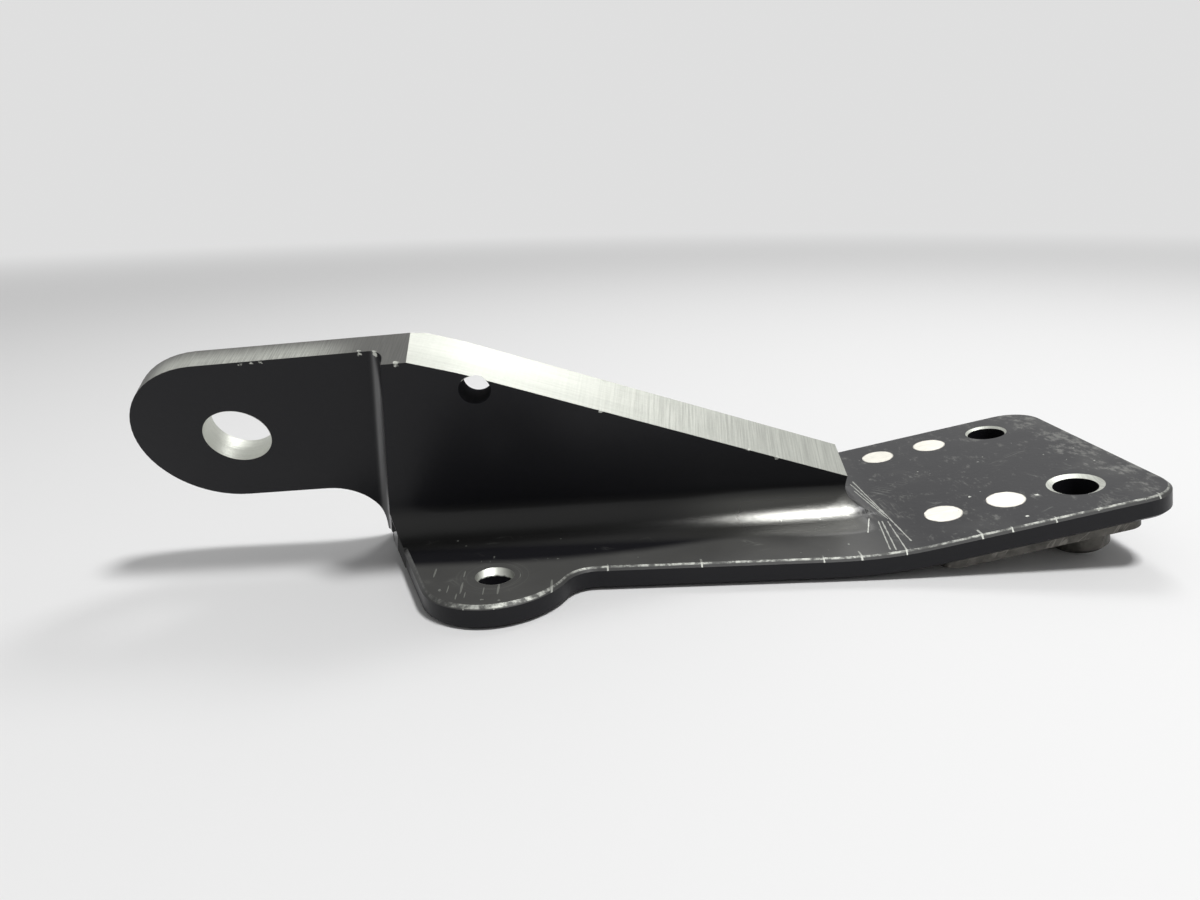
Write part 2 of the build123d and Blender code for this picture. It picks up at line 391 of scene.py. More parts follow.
def fine_scratches():
    """Thin broken scratches in two directions, gathered in patches."""
    known = bpy.data.node_groups.get("Fine scratches")
    if known:
        return known
    tree, w, given, mask = effect(
        "Fine scratches", {"Vector": "Vector", "Spacing": "Float", "Amount": "Float"}
    )
    v = w.vector("DIVIDE", given["Vector"], w.alike(given["Spacing"]))
    patches = w.noise(v, 0.35, 1.0)
    cut = w.math("SUBTRACT", 0.75, w.math("MULTIPLY", given["Amount"], 0.4))
    patch = w.math("MULTIPLY", w.math("SUBTRACT", patches, cut), 12.0, clamp=True)
    lines = []
    for angle in (0.35, 2.2):
        across = Vector((-math.sin(angle), math.cos(angle), 0.35))
        length = Vector((math.cos(angle), math.sin(angle), 0.1)) * 0.12
        n = w.noise(w.combine(w.vector("DOT_PRODUCT", v, across), w.vector("DOT_PRODUCT", v, length)))
        lines.append(w.over(w.math("ABSOLUTE", w.math("SUBTRACT", n, 0.5)), 0.016, 0.004))
    w.join(w.both(w.either(*lines), patch), mask)
    return tree


def specks():
    """Small chips: one in some cells, of uneven size."""
    known = bpy.data.node_groups.get("Specks")
    if known:
        return known
    tree, w, given, mask = effect(
        "Specks", {"Vector": "Vector", "Spacing": "Float", "Size": "Float", "Amount": "Float"}
    )
    v = w.vector("DIVIDE", given["Vector"], w.alike(given["Spacing"]))
    cells = w.nodes.new("ShaderNodeTexVoronoi")
    cells.inputs["Scale"].default_value = 1.0
    w.join(v, cells.inputs["Vector"])
    split = w.nodes.new("ShaderNodeSeparateColor")
    w.join(cells.outputs["Color"], split.inputs[0])
    kept = w.math("LESS_THAN", split.outputs[0], given["Amount"])
    size = w.math("MULTIPLY", w.math("ADD", split.outputs[1], 0.25), given["Size"])
    ragged = w.math("MULTIPLY", w.noise(v, 6.0, 1.0), 0.1)
    reach = w.math("SUBTRACT", size, w.math("ADD", cells.outputs["Distance"], ragged))
    w.join(w.both(w.math("MULTIPLY", reach, 40.0, clamp=True), kept), mask)
    return tree


def chip():
    """One ragged chip at a given place."""
    known = bpy.data.node_groups.get("Chip")
    if known:
        return known
    tree, w, given, mask = effect("Chip", {"Vector": "Vector", "Place": "Vector", "Radius": "Float"})
    away = w.vector("DISTANCE", given["Vector"], given["Place"])
    w.join(w.math("MULTIPLY", w.math("SUBTRACT", given["Radius"], away), 8.0, clamp=True), mask)
    return tree


def long_scratch():
    """One thin scratch from a given place along a given line."""
    known = bpy.data.node_groups.get("Long scratch")
    if known:
        return known
    tree, w, given, mask = effect(
        "Long scratch", {"Vector": "Vector", "Start": "Vector", "Line": "Vector", "Width": "Float"}
    )
    v = w.vector("SUBTRACT", given["Vector"], given["Start"])
    square = w.vector("DOT_PRODUCT", given["Line"], given["Line"])
    share = w.math("DIVIDE", w.vector("DOT_PRODUCT", v, given["Line"]), square, clamp=True)
    foot = w.vector("MULTIPLY", given["Line"], w.alike(share))
    away = w.vector("DISTANCE", v, foot)
    w.join(w.math("MULTIPLY", w.math("SUBTRACT", given["Width"], away), 24.0, clamp=True), mask)
    return tree


def new_material(name):
    """A material with wiring, its Principled shader and the place on the part in millimetres."""
    m = bpy.data.materials.new(name)
    m.use_nodes = True
    w = Wiring(m.node_tree)
    seat = w.nodes.new("ShaderNodeTexCoord")
    where = w.vector("MULTIPLY_ADD", seat.outputs["Object"], (1000.0, 1000.0, 1000.0), TAB_HOLE)
    return m, w, w.nodes["Principled BSDF"], where


def raise_surface(w, shader, height, depth, normal=None):
    """Feed a height in units of the given depth to the shader's normal."""
    bump = w.nodes.new("ShaderNodeBump")
    w.join(normal, bump.inputs["Normal"])
    bump.inputs["Strength"].default_value = 1.0
    bump.inputs["Distance"].default_value = depth * MM
    w.join(height, bump.inputs["Height"])
    w.join(bump.outputs[0], shader.inputs["Normal"])


def dress(nodes, material):
    """Give CAD nodes one material."""
    for name in nodes:
        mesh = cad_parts[name].data
        mesh.materials.clear()
        mesh.materials.append(material)


# Chips on the coating: place and radius
CHIPS = (
    (Vector((9.5, -17.4, 0)), 0.30),
    (Vector((11.2, -18.6, 0)), 0.32),
    (Vector((10.3, -15.7, 0)), 0.22),
    (Vector((15.2, -18.3, 0)), 0.20),
    (Vector((17.1, -18.5, 0)), 0.20),
    (Vector((27.8, -6.4, 0)), 0.14),
    (Vector((23.3, -8.8, 0)), 0.14),
    (Vector((32.7, -7.1, 0)), 0.10),
    (Vector((55.7, -9.1, 0)), 0.12),
    (on_plate(14.7, -1.2), 0.25),
    (on_plate(21.5, -4.7), 0.35),
    (on_plate(17.7, -9.4), 0.26),
    (on_plate(20.6, 8.8), 0.16),
    (on_plate(13.4, 14.8), 0.14),
    (on_plate(24.9, -11.5), 0.3),
    (on_plate(30.5, -11.4), 0.3),
    (on_web(50.7, 10.4, 0.0), 0.35),
    (on_web(46.9, 12.0, 0.0), 0.3),
    (on_web(29.6, 18.9, 6.2), 0.35),
    (on_web(28.5, 19.3, 0.0), 0.35),
    (on_web(2.1, 26.7, 2.9), 0.35),
    (on_web(3.9, 26.8, 2.5), 0.4),
    (on_web(6.4, 27.1, 0.2), 0.35),
    (on_web(-10.7, 25.9, 2.8), 0.2),
    (on_web(-9.6, 26.1, 2.8), 0.22),
    (on_web(-8.5, 26.2, 2.8), 0.2),
)

# Scratches that fan out from the web's right end, in plan: start and line
FAN = (
    (Vector((64.2, -2.4, 0)), Vector((-1.5, -8.0, 0))),
    (Vector((64.6, -2.6, 0)), Vector((-1.3, -8.1, 0))),
    (Vector((65.2, -3.0, 0)), Vector((-0.9, -8.6, 0))),
    (Vector((65.7, -0.6, 0)), Vector((0, -8.5, 0))),
    (Vector((63.4, -1.3, 0)), Vector((-1.5, -3.9, 0))),
    (Vector((65.6, 11.6, 0)), Vector((0.1, -12.0, 0))),
    (Vector((65.0, 10.8, 0)), Vector((0.6, -11.4, 0))),
    (Vector((64.6, 8.0, 0)), Vector((0.9, -10.2, 0))),
)


class BracketSkin:
    """The bracket's material: places on the part, masks of its faces and wear, painted shade
    and sheen, and the finish.
    """

    def __init__(self, settings):
        self.settings = settings
        self.material, self.w, self.shader, self.p = new_material("Black coated aluminium")
        w, p = self.w, self.p
        normal = w.nodes["Texture Coordinate"].outputs["Normal"]
        axes = w.nodes.new("ShaderNodeSeparateXYZ")
        w.join(p, axes.inputs[0])
        self.x, self.y, self.z = axes.outputs
        self.wx = w.vector("DOT_PRODUCT", p, ALONG)
        self.wh = w.vector("DOT_PRODUCT", p, UP_FACE)
        self.wd = w.vector("DOT_PRODUCT", p, INTO)
        self.u = w.math("SUBTRACT", w.vector("DOT_PRODUCT", p, UP_SLOPE), BEND_X * UP_SLOPE.x)
        self.normal = normal
        self.faces_up = w.vector("DOT_PRODUCT", normal, (0, 0, 1))
        self.faces_crest = w.vector("DOT_PRODUCT", normal, UP_FACE)
        self.faces_plate = w.vector("DOT_PRODUCT", normal, PLATE_UP)

    def ring(self, a, b, a0, b0):
        """Distance from a hole's axis."""
        w = self.w
        return w.vector("LENGTH", w.combine(w.math("SUBTRACT", a, a0), w.math("SUBTRACT", b, b0)))

    def find_top(self):
        """Top of the web: coated on the lug, milled bare from the crest down to the right end."""
        w, wx, wh, wd = self.w, self.wx, self.wh, self.wd
        fall = (KNEE_H - STRIP_H) / (STRIP_X - KNEE_X)
        crest = w.math("ADD", wh, w.math("MULTIPLY", w.math("SUBTRACT", wx, KNEE_X), fall))
        top = w.both(
            w.over(wd, -0.05, -0.02),
            w.over(wd, WEB_DEPTH + 0.1, WEB_DEPTH + 0.05),
            w.over(self.faces_crest, 0.7, 0.75),
            w.over(crest, KNEE_H - 1.0, KNEE_H - 0.9),
            w.over(wx, STRIP_X + 0.3, STRIP_X + 0.2),
        )
        self.milled = w.both(top, w.over(wx, CREST_X, CREST_X + 0.06))
        self.lug_top = w.both(
            w.over(wd, -0.05, -0.02),
            w.over(self.faces_crest, 0.35, 0.8),
            w.over(wx, CREST_X + 0.06, CREST_X),
            w.over(wh, 20, 22),
        )

    def find_holes(self):
        """Bare walls of the holes, painted shade on the lower walls of pin and tab hole,
        and the bare mouths of the screw holes.
        """
        w, wx, wh, x, y, z = self.w, self.wx, self.wh, self.x, self.y, self.z
        self.bore = w.over(self.ring(wx, wh, BORE_X, BORE_H), BORE_R + 0.05, BORE_R + 0.03)
        pin_z = on_web(PIN_X, PIN_H).z
        pin = w.over(self.ring(wx, z, PIN_X, pin_z), PIN_R + 0.06, PIN_R + 0.04)
        self.tab_ring = self.ring(x, y, TAB_HOLE.x, TAB_HOLE.y)
        tab_wall = w.over(self.tab_ring, TAB_HOLE_R + 0.05, TAB_HOLE_R + 0.03)
        mouths = []
        for row, width in zip(ROW_Y, SCREW_RING):
            away = self.ring(self.u, y, NUT_U, row)
            inside = w.over(away, SCREW_R + width, SCREW_R + width - 0.04)
            mouths.append(w.both(w.over(away, SCREW_R - 0.01, SCREW_R + 0.02), inside))
        mouth = w.both(w.either(*mouths), w.over(self.faces_plate, 0.3, 0.4))
        pin_chip = w.both(pin, w.over(z, pin_z + 1.0, pin_z + 1.3))
        # Painted shade on the lower walls of the pin and tab holes, below their bare upper parts
        self.pin_shade = w.math("SUBTRACT", pin, pin_chip, clamp=True)
        ragged_z = w.math("MULTIPLY_ADD", w.noise(self.p, 1.6, 2.0), 0.5, z)
        self.tab_bare = w.both(tab_wall, w.over(ragged_z, -0.95, -0.65))
        self.tab_shade = w.math("SUBTRACT", tab_wall, self.tab_bare, clamp=True)
        self.holes = w.either(self.bore, pin_chip, self.tab_bare, mouth)

    def find_step(self):
        """Narrow face between the web's front and the recessed lug."""
        w = self.w
        self.step = w.both(
            w.over(self.wd, STEP_DEPTH + 0.01, STEP_DEPTH - 0.14),
            w.over(self.wd, 0.0, 0.15),
            w.over(self.wx, STEP_X + 0.5, STEP_X),
            w.over(self.faces_crest, 0.5, 0.3),
        )

    def depth_below_top(self):
        """Depth below the top of the base, the bend and the raised plate."""
        w, x = self.w, self.x
        run = BEND_R * math.sin(BEND)
        start = BEND_X - BEND_R * math.tan(BEND / 2)
        bent = w.math("MINIMUM", w.math("MAXIMUM", w.math("SUBTRACT", x, start), 0.0), run)
        bow = w.math("SQRT", w.math("MULTIPLY_ADD", bent, w.math("MULTIPLY", bent, -1.0), BEND_R**2))
        past_bend = w.math("MAXIMUM", w.math("SUBTRACT", x, start + run), 0.0)
        slope = w.math("MULTIPLY", past_bend, math.tan(BEND))
        top = w.math("SUBTRACT", w.math("ADD", slope, BEND_R), bow)
        return w.math("SUBTRACT", top, self.z)

    def find_rims(self):
        """Broken rims of base and plate, and the thin line where they are rubbed through."""
        w, x, y, faces_up = self.w, self.x, self.y, self.faces_up
        clear = w.either(w.over(self.wd, -4.0, -4.1), w.over(x, 66.8, 66.9), w.over(y, 9.0, 9.1))
        self.rim = w.both(clear, w.over(faces_up, 0.5, 0.6), w.over(faces_up, 0.9, 0.84))
        self.below = self.depth_below_top()
        streaks = w.noise(w.vector("MULTIPLY", self.p, (0.9, 1.4, 0.3)), 1.0, 5.0, 0.7)
        left_rim = w.both(w.over(x, 13.5, 11.5), w.over(y, -19.6, -18.2))
        tab_front = w.both(w.over(y, -15.5, -17.5), w.over(x, 28.0, 24.0))
        narrow = w.math("MULTIPLY_ADD", tab_front, -0.16, self.below)
        broken = w.blend(w.over(streaks, 0.4, 0.62), 0.15, 1.0)
        line = w.both(self.rim, w.over(narrow, 0.24, 0.12), broken)
        self.rim_bare = w.both(line, w.blend(left_rim, 1.0, 0.25), w.blend(tab_front, 0.75, 1.0))

    def find_chips(self):
        """Chips at their places, and the scratches that fan out from the web's right end."""
        w, p = self.w, self.p
        jagged = w.nodes.new("ShaderNodeTexNoise")
        jagged.inputs["Scale"].default_value = 2.4
        w.join(p, jagged.inputs["Vector"])
        torn = w.vector("MULTIPLY_ADD", jagged.outputs["Color"], (0.7, 0.7, 0.7), p)
        torn = w.vector("SUBTRACT", torn, (0.35, 0.35, 0.35))
        self.chips = w.gather(w.place(chip(), Vector=torn, Place=at, Radius=r) for at, r in CHIPS)
        self.flat = w.both(w.over(self.faces_up, 0.9, 0.95), w.over(self.below, -0.8, -0.4))
        uneven = w.math("MULTIPLY", w.noise(p, 1.3, 2.0), 0.19)
        self.plan = w.combine(self.x, self.y)
        fan = w.gather(
            w.place(long_scratch(), Vector=self.plan, Start=start, Line=line, Width=uneven)
            for start, line in FAN
        )
        self.fan = w.both(fan, w.over(self.faces_up, 0.5, 0.6))

    def find_wear(self):
        """Specks, scratches, ticks, the washer's mark and scuffs on the coating."""
        w, p, flat, wear = self.w, self.p, self.flat, self.settings.wear
        share = w.math("MULTIPLY", flat, wear)
        self.dots = w.place(specks(), Vector=p, Spacing=1.3, Size=0.13, Amount=share)
        fine = w.place(fine_scratches(), Vector=p, Spacing=1.9, Amount=wear)
        self.scratches = w.both(fine, flat)
        under_washer = w.both(w.over(self.tab_ring, WASHER_R, WASHER_R - 1.8), flat)
        near_edge = w.either(
            w.over(w.vector("DISTANCE", self.plan, TAB_MIDDLE), 9.5, 5.5),
            w.math("MULTIPLY", w.over(self.y, -8.8, -10.8), 0.5),
        )
        long_y = w.vector("MULTIPLY", p, (1.0, 0.1, 0.1))
        facing = w.over(self.faces_up, 0.5, 0.7)
        often = w.both(near_edge, facing, w.blend(wear, 0.2, 1.8))
        self.ticks = w.place(specks(), Vector=long_y, Spacing=0.5, Size=0.3, Amount=often)
        circles = w.place(tool_lines(), Across=self.tab_ring, Along=self.x, Pitch=0.22)
        self.turned = w.both(under_washer, w.over(circles, 0.72, 0.95))
        scuffs = w.noise(w.vector("MULTIPLY", p, (1.1, 0.5, 1.0)), 1.4, 4.0, 0.7)
        zones = w.math("MULTIPLY_ADD", w.noise(p, 0.3, 1.0), 0.45, scuffs)
        zones = w.math("MULTIPLY_ADD", w.over(self.u, 29.5, 33.0), 0.14, zones)
        self.scuffed = w.both(flat, w.over(self.x, 62.0, 64.0), w.over(zones, 0.78, 1.06))
        self.end_patch = w.both(
            w.over(w.vector("DISTANCE", p, END_PATCH), 4.2, 2.0),
            w.over(self.faces_crest, 0.55, 0.8),
            w.over(w.noise(w.vector("MULTIPLY", p, (3.2, 0.35, 1.0)), 1.0, 3.0, 0.6), 0.45, 0.7),
        )

    def find_tool_lines(self):
        """Lines of the cutter on the milled strip, in the bore and across the lug's top."""
        w, wx, wd = self.w, self.wx, self.wd
        slant = w.math("SUBTRACT", wx, w.math("MULTIPLY", wd, 0.17))
        pitch = self.settings.line_pitch
        self.mill = w.place(tool_lines(), Across=slant, Along=wd, Pitch=pitch)
        self.turned_bore = w.place(tool_lines(), Across=wd, Along=self.wh, Pitch=0.3)
        self.speckle = w.noise(self.p, 3.0, 3.0, 0.7)
        lug_slant = w.math("SUBTRACT", wx, w.math("MULTIPLY", wd, 0.12))
        self.lug_lines = w.place(tool_lines(), Across=lug_slant, Along=wd, Pitch=0.14)
        self.lug_light = w.both(
            self.lug_top, w.over(wd, 6.2, 3.2), w.over(wx, 3.0, -5.0), w.over(wx, -22.0, -18.5)
        )

    def find_rub_and_shade(self):
        """Coating rubbed paler, kept black behind the web's shadow edge as painted shadow."""
        w, x, y, flat = self.w, self.x, self.y, self.flat
        patches = w.noise(self.p, 0.09, 3.0, 0.55)
        along_base = w.math("MAXIMUM", w.math("SUBTRACT", x, SHADOW_EDGE_X), 0.0)
        square = w.math("MULTIPLY", along_base, along_base)
        shadow_edge_offset = w.math("MULTIPLY_ADD", square, SHADOW_EDGE_CURVE, y)
        # Painted shadow: 1 in front of the lamp's shadow edge under the web, so the coating behind it
        # stays black
        past_shadow_edge = w.either(w.over(shadow_edge_offset, -8.0, -10.2), w.over(x, 62.0, 67.0), w.over(y, 8.0, 9.0))
        self.rub_and_shade = w.either(
            w.both(self.lug_top, w.blend(self.lug_lines, 0.75, 1.0)),
            w.both(flat, past_shadow_edge, w.over(x, 68.0, 58.0), w.blend(patches, 0.3, 0.75)),
            w.math("MULTIPLY", w.both(flat, past_shadow_edge, w.over(patches, 0.5, 0.75)), 0.2),
            w.math("MULTIPLY", self.scuffed, 0.85),
            w.math("MULTIPLY", self.end_patch, 0.9),
            w.math("MULTIPLY", self.rim, 0.3),
        )

    def find_bare(self):
        """Metal without coating: machined faces, holes, rims and damage."""
        w = self.w
        self.bare = w.either(
            self.milled,
            self.holes,
            w.math("MULTIPLY", self.rim_bare, 0.8),
            w.math("MULTIPLY", self.ticks, 0.6),
            self.chips,
            w.math("MULTIPLY", self.fan, 0.7),
            w.math("MULTIPLY", self.dots, 0.7),
            w.math("MULTIPLY", self.turned, 0.12),
            w.math("MULTIPLY", self.scratches, 0.14),
            w.math("MULTIPLY", self.scuffed, 0.08),
            w.math("MULTIPLY", w.both(self.lug_light, w.blend(self.lug_lines, 0.5, 1.0)), 0.9),
        )

    def set_color(self):
        """Coating, bare metal, painted shade in two holes and a painted sheen in the fold."""
        w, s, x, wx, wd = self.w, self.settings, self.x, self.wx, self.wd
        coat = w.tint(self.rub_and_shade, (*s.coat_color, 1), (*s.worn_and_glow_color, 1))
        metal_dark = tuple(c * 0.45 for c in s.bare_color)
        self.ridged = w.over(wx, 18.0, 42.0)
        ridged, mill = self.ridged, self.mill
        long_lines = w.place(tool_lines(), Across=wd, Along=wx, Pitch=0.3)
        lines = w.blend(ridged, w.blend(0.75, mill, long_lines), mill)
        shade = w.math("MULTIPLY", self.speckle, 0.3)
        shade = w.math("MULTIPLY_ADD", lines, w.blend(ridged, 0.16, 0.34), shade)
        upper = w.math("MULTIPLY", w.over(wd, 1.0, 4.0), w.blend(ridged, 0.16, 0.0))
        shade = w.math("ADD", w.math("ADD", shade, upper), w.blend(self.milled, 0.45, 0.07), clamp=True)
        metal = w.tint(shade, (*metal_dark, 1), (*s.bare_color, 1))
        self.fold = w.both(
            w.over(self.z, 5.2, 2.2),
            w.over(wd, 0.4, 0.1),
            w.over(self.y, -5.6, -3.4),
            w.over(x, 64.0, 61.0),
        )
        # Painted sheen: metal-like reflectance in the fold, strongest to the right where the lamp's
        # glint falls
        glint_sheen = w.both(self.fold, w.blend(w.over(x, 34.0, 50.0), 0.35, 1.0))
        self.glint_sheen = w.math("SUBTRACT", glint_sheen, self.bare, clamp=True)
        # Painted shade: the lower walls of the pin and tab holes are made near black and matt
        self.hole_shade = w.either(self.tab_shade, self.pin_shade)
        color = w.tint(self.hole_shade, w.tint(self.bare, coat, metal), HOLE_SHADE_COLOR)
        color = w.tint(self.glint_sheen, color, FOLD_SHEEN_COLOR)
        w.join(color, self.shader.inputs["Base Color"])
        w.join(w.either(self.bare, self.hole_shade, self.glint_sheen), self.shader.inputs["Metallic"])

    def set_gloss(self):
        """Satin coating, matt bare metal, smoother painted sheen in the fold, and painted sheen
        on the lug's step and the flat tops.
        """
        w, inputs, bare = self.w, self.shader.inputs, self.bare
        gloss = w.math("MULTIPLY", w.noise(self.p, 0.22, 4.0, 0.6), 0.12)
        gloss = w.math("ADD", self.settings.coat_roughness - 0.06, gloss)
        gloss = w.math("ADD", gloss, w.math("MULTIPLY", self.rub_and_shade, 0.2))
        matt = w.math("ADD", w.blend(self.speckle, 0.4, 0.56), w.math("MULTIPLY", self.rim, 0.1))
        rough = w.blend(self.hole_shade, w.blend(bare, gloss, matt), 0.8)
        w.join(w.blend(self.glint_sheen, rough, 0.27), inputs["Roughness"])
        inputs["Specular IOR Level"].default_value = 0.2
        inputs["Coat Roughness"].default_value = 0.28
        inputs["Coat IOR"].default_value = 1.9
        # Painted sheen: full clear coat on the lug's step, a weak one on the flat tops, brighter than
        # the web's faces
        sheen_coat = w.either(self.step, w.math("MULTIPLY", self.flat, 0.15))
        w.join(w.both(sheen_coat, w.math("SUBTRACT", 1.0, bare)), inputs["Coat Weight"])

    def set_relief(self):
        """Orange peel, cutter ridges and pits, and normals turned in the fold and two holes."""
        w = self.w
        peel = w.math("MULTIPLY", w.noise(self.p, 1.6, 2.0), w.blend(self.bare, 0.35, 0.0))
        ridges = w.both(self.mill, self.milled, w.blend(self.ridged, 0.06, 0.22))
        bore_lines = w.math("MULTIPLY", self.turned_bore, w.math("MULTIPLY", self.bore, 0.9))
        pits = w.math("MULTIPLY", self.chips, -1.2)
        height = w.math("ADD", w.math("ADD", peel, ridges), w.math("ADD", bore_lines, pits))
        open_up = w.math("MULTIPLY", self.fold, w.blend(w.over(self.x, 38.0, 54.0), 1.0, 2.6))
        turn = w.vector("MULTIPLY", tuple(FOLD_FACING), w.alike(open_up))
        upward = w.combine(0.0, 0.0, self.tab_bare)
        turn = w.vector("MULTIPLY_ADD", upward, (1.0, 1.0, 1.2), turn)
        forward = w.combine(0.0, self.pin_shade, self.pin_shade)
        turn = w.vector("MULTIPLY_ADD", forward, (1.0, -1.2, 0.3), turn)
        soft = w.vector("NORMALIZE", w.vector("ADD", self.normal, turn))
        raise_surface(w, self.shader, height, 0.03, soft)


class OBJECT_OT_bracket_finish(bpy.types.Operator):
    """Give the bracket its black coating, bare machined faces, wear, and painted shade and sheen"""

    bl_idname = "object.bracket_finish"
    bl_label = "Bracket Finish"
    bl_options = {"REGISTER", "UNDO"}

    def execute(self, context):
        skin = BracketSkin(context.scene.bracket_finish)
        skin.find_top()
        skin.find_holes()
        skin.find_step()
        skin.find_rims()
        skin.find_chips()
        skin.find_wear()
        skin.find_tool_lines()
        skin.find_rub_and_shade()
        skin.find_bare()
        skin.set_color()
        skin.set_gloss()
        skin.set_relief()
        dress(["bracket"], skin.material)
        return {"FINISHED"}


class OBJECT_OT_rivet_finish(bpy.types.Operator):
    """Give the flush rivets their bare, worn heads"""

    bl_idname = "object.rivet_finish"
    bl_label = "Rivet Finish"
    bl_options = {"REGISTER", "UNDO"}

    def execute(self, context):
        s = context.scene.fastener_finish
        m, w, shader, p = new_material("Bare rivet aluminium")
        axes = w.nodes.new("ShaderNodeSeparateXYZ")
        w.join(p, axes.inputs[0])
        y = axes.outputs["Y"]
        u = w.math("SUBTRACT", w.vector("DOT_PRODUCT", p, UP_SLOPE), BEND_X * UP_SLOPE.x)
        away = None
        for row in ROW_Y:
            for place in RIVET_U:
                gap = w.combine(w.math("SUBTRACT", u, place), w.math("SUBTRACT", y, row))
                near = w.vector("LENGTH", gap)
                away = near if away is None else w.math("MINIMUM", away, near)
        grime = w.both(w.over(away, HEAD_R - 0.22, HEAD_R), w.over(w.noise(p, 1.1, 2.0), 0.3, 0.6))
        spots = w.place(specks(), Vector=p, Spacing=0.8, Size=0.14, Amount=0.3)
        scratches = w.place(fine_scratches(), Vector=p, Spacing=0.7, Amount=0.8)
        belt = w.place(tool_lines(), Across=y, Along=u, Pitch=0.16)
        cloud = w.noise(p, 0.9, 3.0, 0.6)
        dark = tuple(c * 0.8 for c in s.rivet_color)
        shade = w.math("MULTIPLY", w.math("ADD", belt, cloud), 0.6, clamp=True)
        metal = w.tint(shade, (*dark, 1), (*s.rivet_color, 1))
        metal = w.tint(w.math("MULTIPLY", w.either(grime, spots), 0.7), metal, GRIME_COLOR)
        w.join(metal, shader.inputs["Base Color"])
        w.join(w.blend(w.either(grime, spots), 1.0, 0.3), shader.inputs["Metallic"])
        w.join(w.math("ADD", 0.42, w.math("MULTIPLY", cloud, 0.16)), shader.inputs["Roughness"])
        relief = w.math("ADD", w.math("MULTIPLY", belt, 0.4), w.math("MULTIPLY", scratches, -0.8))
        raise_surface(w, shader, w.math("SUBTRACT", relief, spots), 0.012)
        dress(RIVETS, m)
        return {"FINISHED"}


class OBJECT_OT_nut_finish(bpy.types.Operator):
    """Give the captive nuts their dull plated steel"""

    bl_idname = "object.nut_finish"
    bl_label = "Nut Finish"
    bl_options = {"REGISTER", "UNDO"}

    def execute(self, context):
        s = context.scene.fastener_finish
        m, w, shader, p = new_material("Dull plated steel")
        cloud = w.noise(p, 0.5, 4.0, 0.6)
        grain = w.noise(p, 5.0, 2.0)
        spots = w.place(specks(), Vector=p, Spacing=0.9, Size=0.16, Amount=0.35)
        scratches = w.place(fine_scratches(), Vector=p, Spacing=0.9, Amount=0.6)
        dark = tuple(c * 0.45 for c in s.nut_color)
        metal = w.tint(w.over(cloud, 0.3, 0.65), (*dark, 1), (*s.nut_color, 1))
        bright = tuple(min(1, c * 2.2) for c in s.nut_color)
        metal = w.tint(w.math("MULTIPLY", scratches, 0.5), metal, (*bright, 1))
        metal = w.tint(w.math("MULTIPLY", spots, 0.7), metal, SPOT_COLOR)
        w.join(metal, shader.inputs["Base Color"])
        w.join(w.blend(spots, 0.85, 0.2), shader.inputs["Metallic"])
        w.join(w.math("ADD", 0.42, w.math("MULTIPLY", cloud, 0.25)), shader.inputs["Roughness"])
        raise_surface(w, shader, w.math("SUBTRACT", grain, w.math("ADD", spots, scratches)), 0.01)
        dress(NUTS, m)
        return {"FINISHED"}


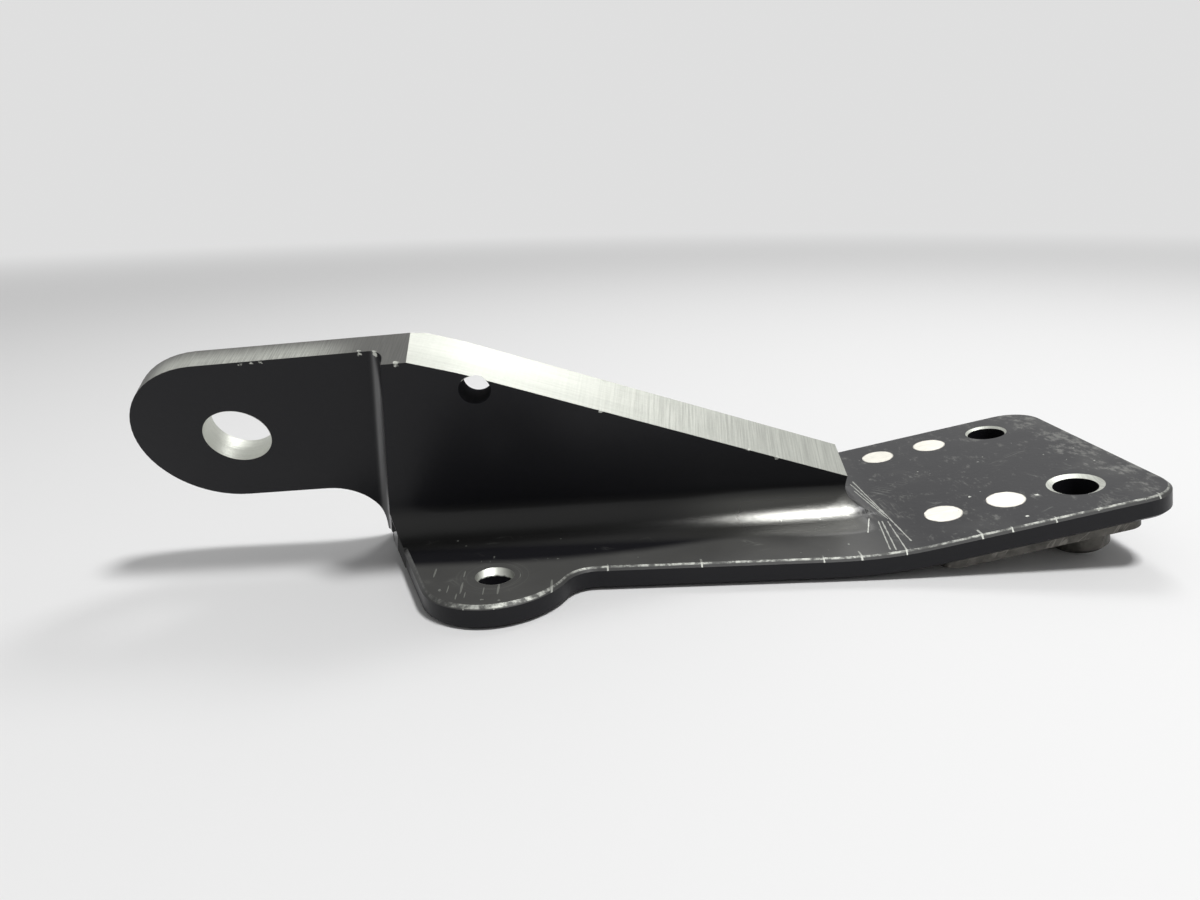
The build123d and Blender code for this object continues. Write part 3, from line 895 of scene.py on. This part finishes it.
class OBJECT_OT_bracket_stage(bpy.types.Operator):
    """Build the floor, the world, the lamps and the camera"""

    bl_idname = "object.bracket_stage"
    bl_label = "Stage"
    bl_options = {"REGISTER", "UNDO"}

    def seen(self, w):
        """1 where the camera looks straight, by reflection or through glass."""
        path = w.nodes.new("ShaderNodeLightPath").outputs
        names = ("Is Camera Ray", "Is Glossy Ray", "Is Transmission Ray")
        return w.either(*(path[name] for name in names))

    def build_floor(self, s, scene):
        """Large pale plane that fades into the backdrop."""
        bm = bmesh.new()
        bmesh.ops.create_grid(bm, x_segments=2, y_segments=2, size=FLOOR_HALF)
        mesh = bpy.data.meshes.new("floor")
        bm.to_mesh(mesh)
        bm.free()
        floor = bpy.data.objects.new("floor", mesh)
        floor.location = in_frame(Vector((FLOOR_X, 0, TAB_HOLE.z)))
        floor.rotation_euler = (0, s.floor_fall, 0)
        scene.collection.objects.link(floor)
        m = bpy.data.materials.new("Pale floor")
        m.use_nodes = True
        w = Wiring(m.node_tree)
        shader = w.nodes["Principled BSDF"]
        shader.inputs["Base Color"].default_value = (*s.floor_color, 1)
        shader.inputs["Roughness"].default_value = 0.7
        seat = w.nodes.new("ShaderNodeTexCoord")
        away = w.vector("LENGTH", seat.outputs["Object"])
        far = w.nodes.new("ShaderNodeEmission")
        far.inputs["Color"].default_value = (s.backdrop_level,) * 3 + (1,)
        fade = w.nodes.new("ShaderNodeMixShader")
        w.join(w.both(w.over(away, FADE_START, FADE_END), self.seen(w)), fade.inputs[0])
        w.join(shader.outputs[0], fade.inputs[1])
        w.join(far.outputs[0], fade.inputs[2])
        w.join(fade.outputs[0], w.nodes["Material Output"].inputs["Surface"])
        mesh.materials.append(m)

    def build_world(self, s, scene):
        """Even light all round, paler where it is seen."""
        world = bpy.data.worlds.new("Studio")
        world.use_nodes = True
        w = Wiring(world.node_tree)
        light = w.nodes["Background"]
        light.inputs["Color"].default_value = (1, 1, 1, 1)
        w.join(w.blend(self.seen(w), s.world_level, s.backdrop_level), light.inputs["Strength"])
        scene.world = world

    def build_lamps(self, s, scene):
        """Soft lamps above and behind the bracket."""
        aim = in_frame(LAMPS_AIM)
        lamps = (
            ("lamp", s.lamp_power, s.lamp_size, LAMP_WAY),
            ("back lamp", s.back_power, s.back_size, BACK_LAMP_WAY),
        )
        for name, power, size, way in lamps:
            lamp = bpy.data.lights.new(name, "AREA")
            lamp.energy = power
            lamp.size = size
            light = bpy.data.objects.new(name, lamp)
            light.location = aim + Vector(way).normalized() * LAMP_AWAY
            light.rotation_euler = (aim - light.location).to_track_quat("-Z", "Y").to_euler()
            scene.collection.objects.link(light)

    def build_camera(self, scene):
        """Camera at the photograph's place."""
        yaw, pitch, roll = CAMERA_YAW, CAMERA_PITCH, CAMERA_ROLL
        forward = Vector(
            (math.sin(yaw) * math.cos(pitch), math.cos(yaw) * math.cos(pitch), -math.sin(pitch))
        )
        level = Vector((math.cos(yaw), -math.sin(yaw), 0))
        upward = level.cross(forward)
        right = level * math.cos(roll) + upward * math.sin(roll)
        up = upward * math.cos(roll) - level * math.sin(roll)
        camera = bpy.data.cameras.new("camera")
        camera.sensor_width = SENSOR_WIDTH
        camera.lens = FOCAL_PX / PHOTO_WIDTH * SENSOR_WIDTH
        camera.clip_start, camera.clip_end = 0.005, 20
        eye = bpy.data.objects.new("camera", camera)
        turn = Matrix((right, up, -forward)).transposed()
        eye.matrix_world = Matrix.Translation(in_frame(CAMERA_AT)) @ turn.to_4x4()
        scene.collection.objects.link(eye)
        scene.camera = eye

    def execute(self, context):
        s = context.scene.bracket_stage
        scene = context.scene
        self.build_floor(s, scene)
        self.build_world(s, scene)
        self.build_lamps(s, scene)
        self.build_camera(scene)
        scene.view_settings.view_transform = "Standard"
        return {"FINISHED"}


class VIEW3D_PT_bracket(bpy.types.Panel):
    """Buttons for the bracket's pieces"""

    bl_label = "Gas Strut Bracket"
    bl_space_type = "VIEW_3D"
    bl_region_type = "UI"
    bl_category = "Bracket"

    def draw(self, context):
        scene = context.scene
        for group in (scene.bracket_finish, scene.fastener_finish, scene.bracket_stage):
            for name in group.__annotations__:
                self.layout.prop(group, name)
        for step in STEPS:
            self.layout.operator(step.bl_idname)


STEPS = (
    OBJECT_OT_bracket_stage,
    OBJECT_OT_bracket_finish,
    OBJECT_OT_rivet_finish,
    OBJECT_OT_nut_finish,
)
GROUPS = (BracketFinish, FastenerFinish, StageSettings)


def register():
    for c in (*GROUPS, *STEPS, VIEW3D_PT_bracket):
        bpy.utils.register_class(c)
    bpy.types.Scene.bracket_finish = PointerProperty(type=BracketFinish)
    bpy.types.Scene.fastener_finish = PointerProperty(type=FastenerFinish)
    bpy.types.Scene.bracket_stage = PointerProperty(type=StageSettings)


def unregister():
    del bpy.types.Scene.bracket_stage
    del bpy.types.Scene.fastener_finish
    del bpy.types.Scene.bracket_finish
    for c in reversed((*GROUPS, *STEPS, VIEW3D_PT_bracket)):
        bpy.utils.unregister_class(c)


def main():
    register()
    for step in STEPS:
        area, name = step.bl_idname.split(".")
        getattr(getattr(bpy.ops, area), name)()


if __name__ == "__main__":
    main()
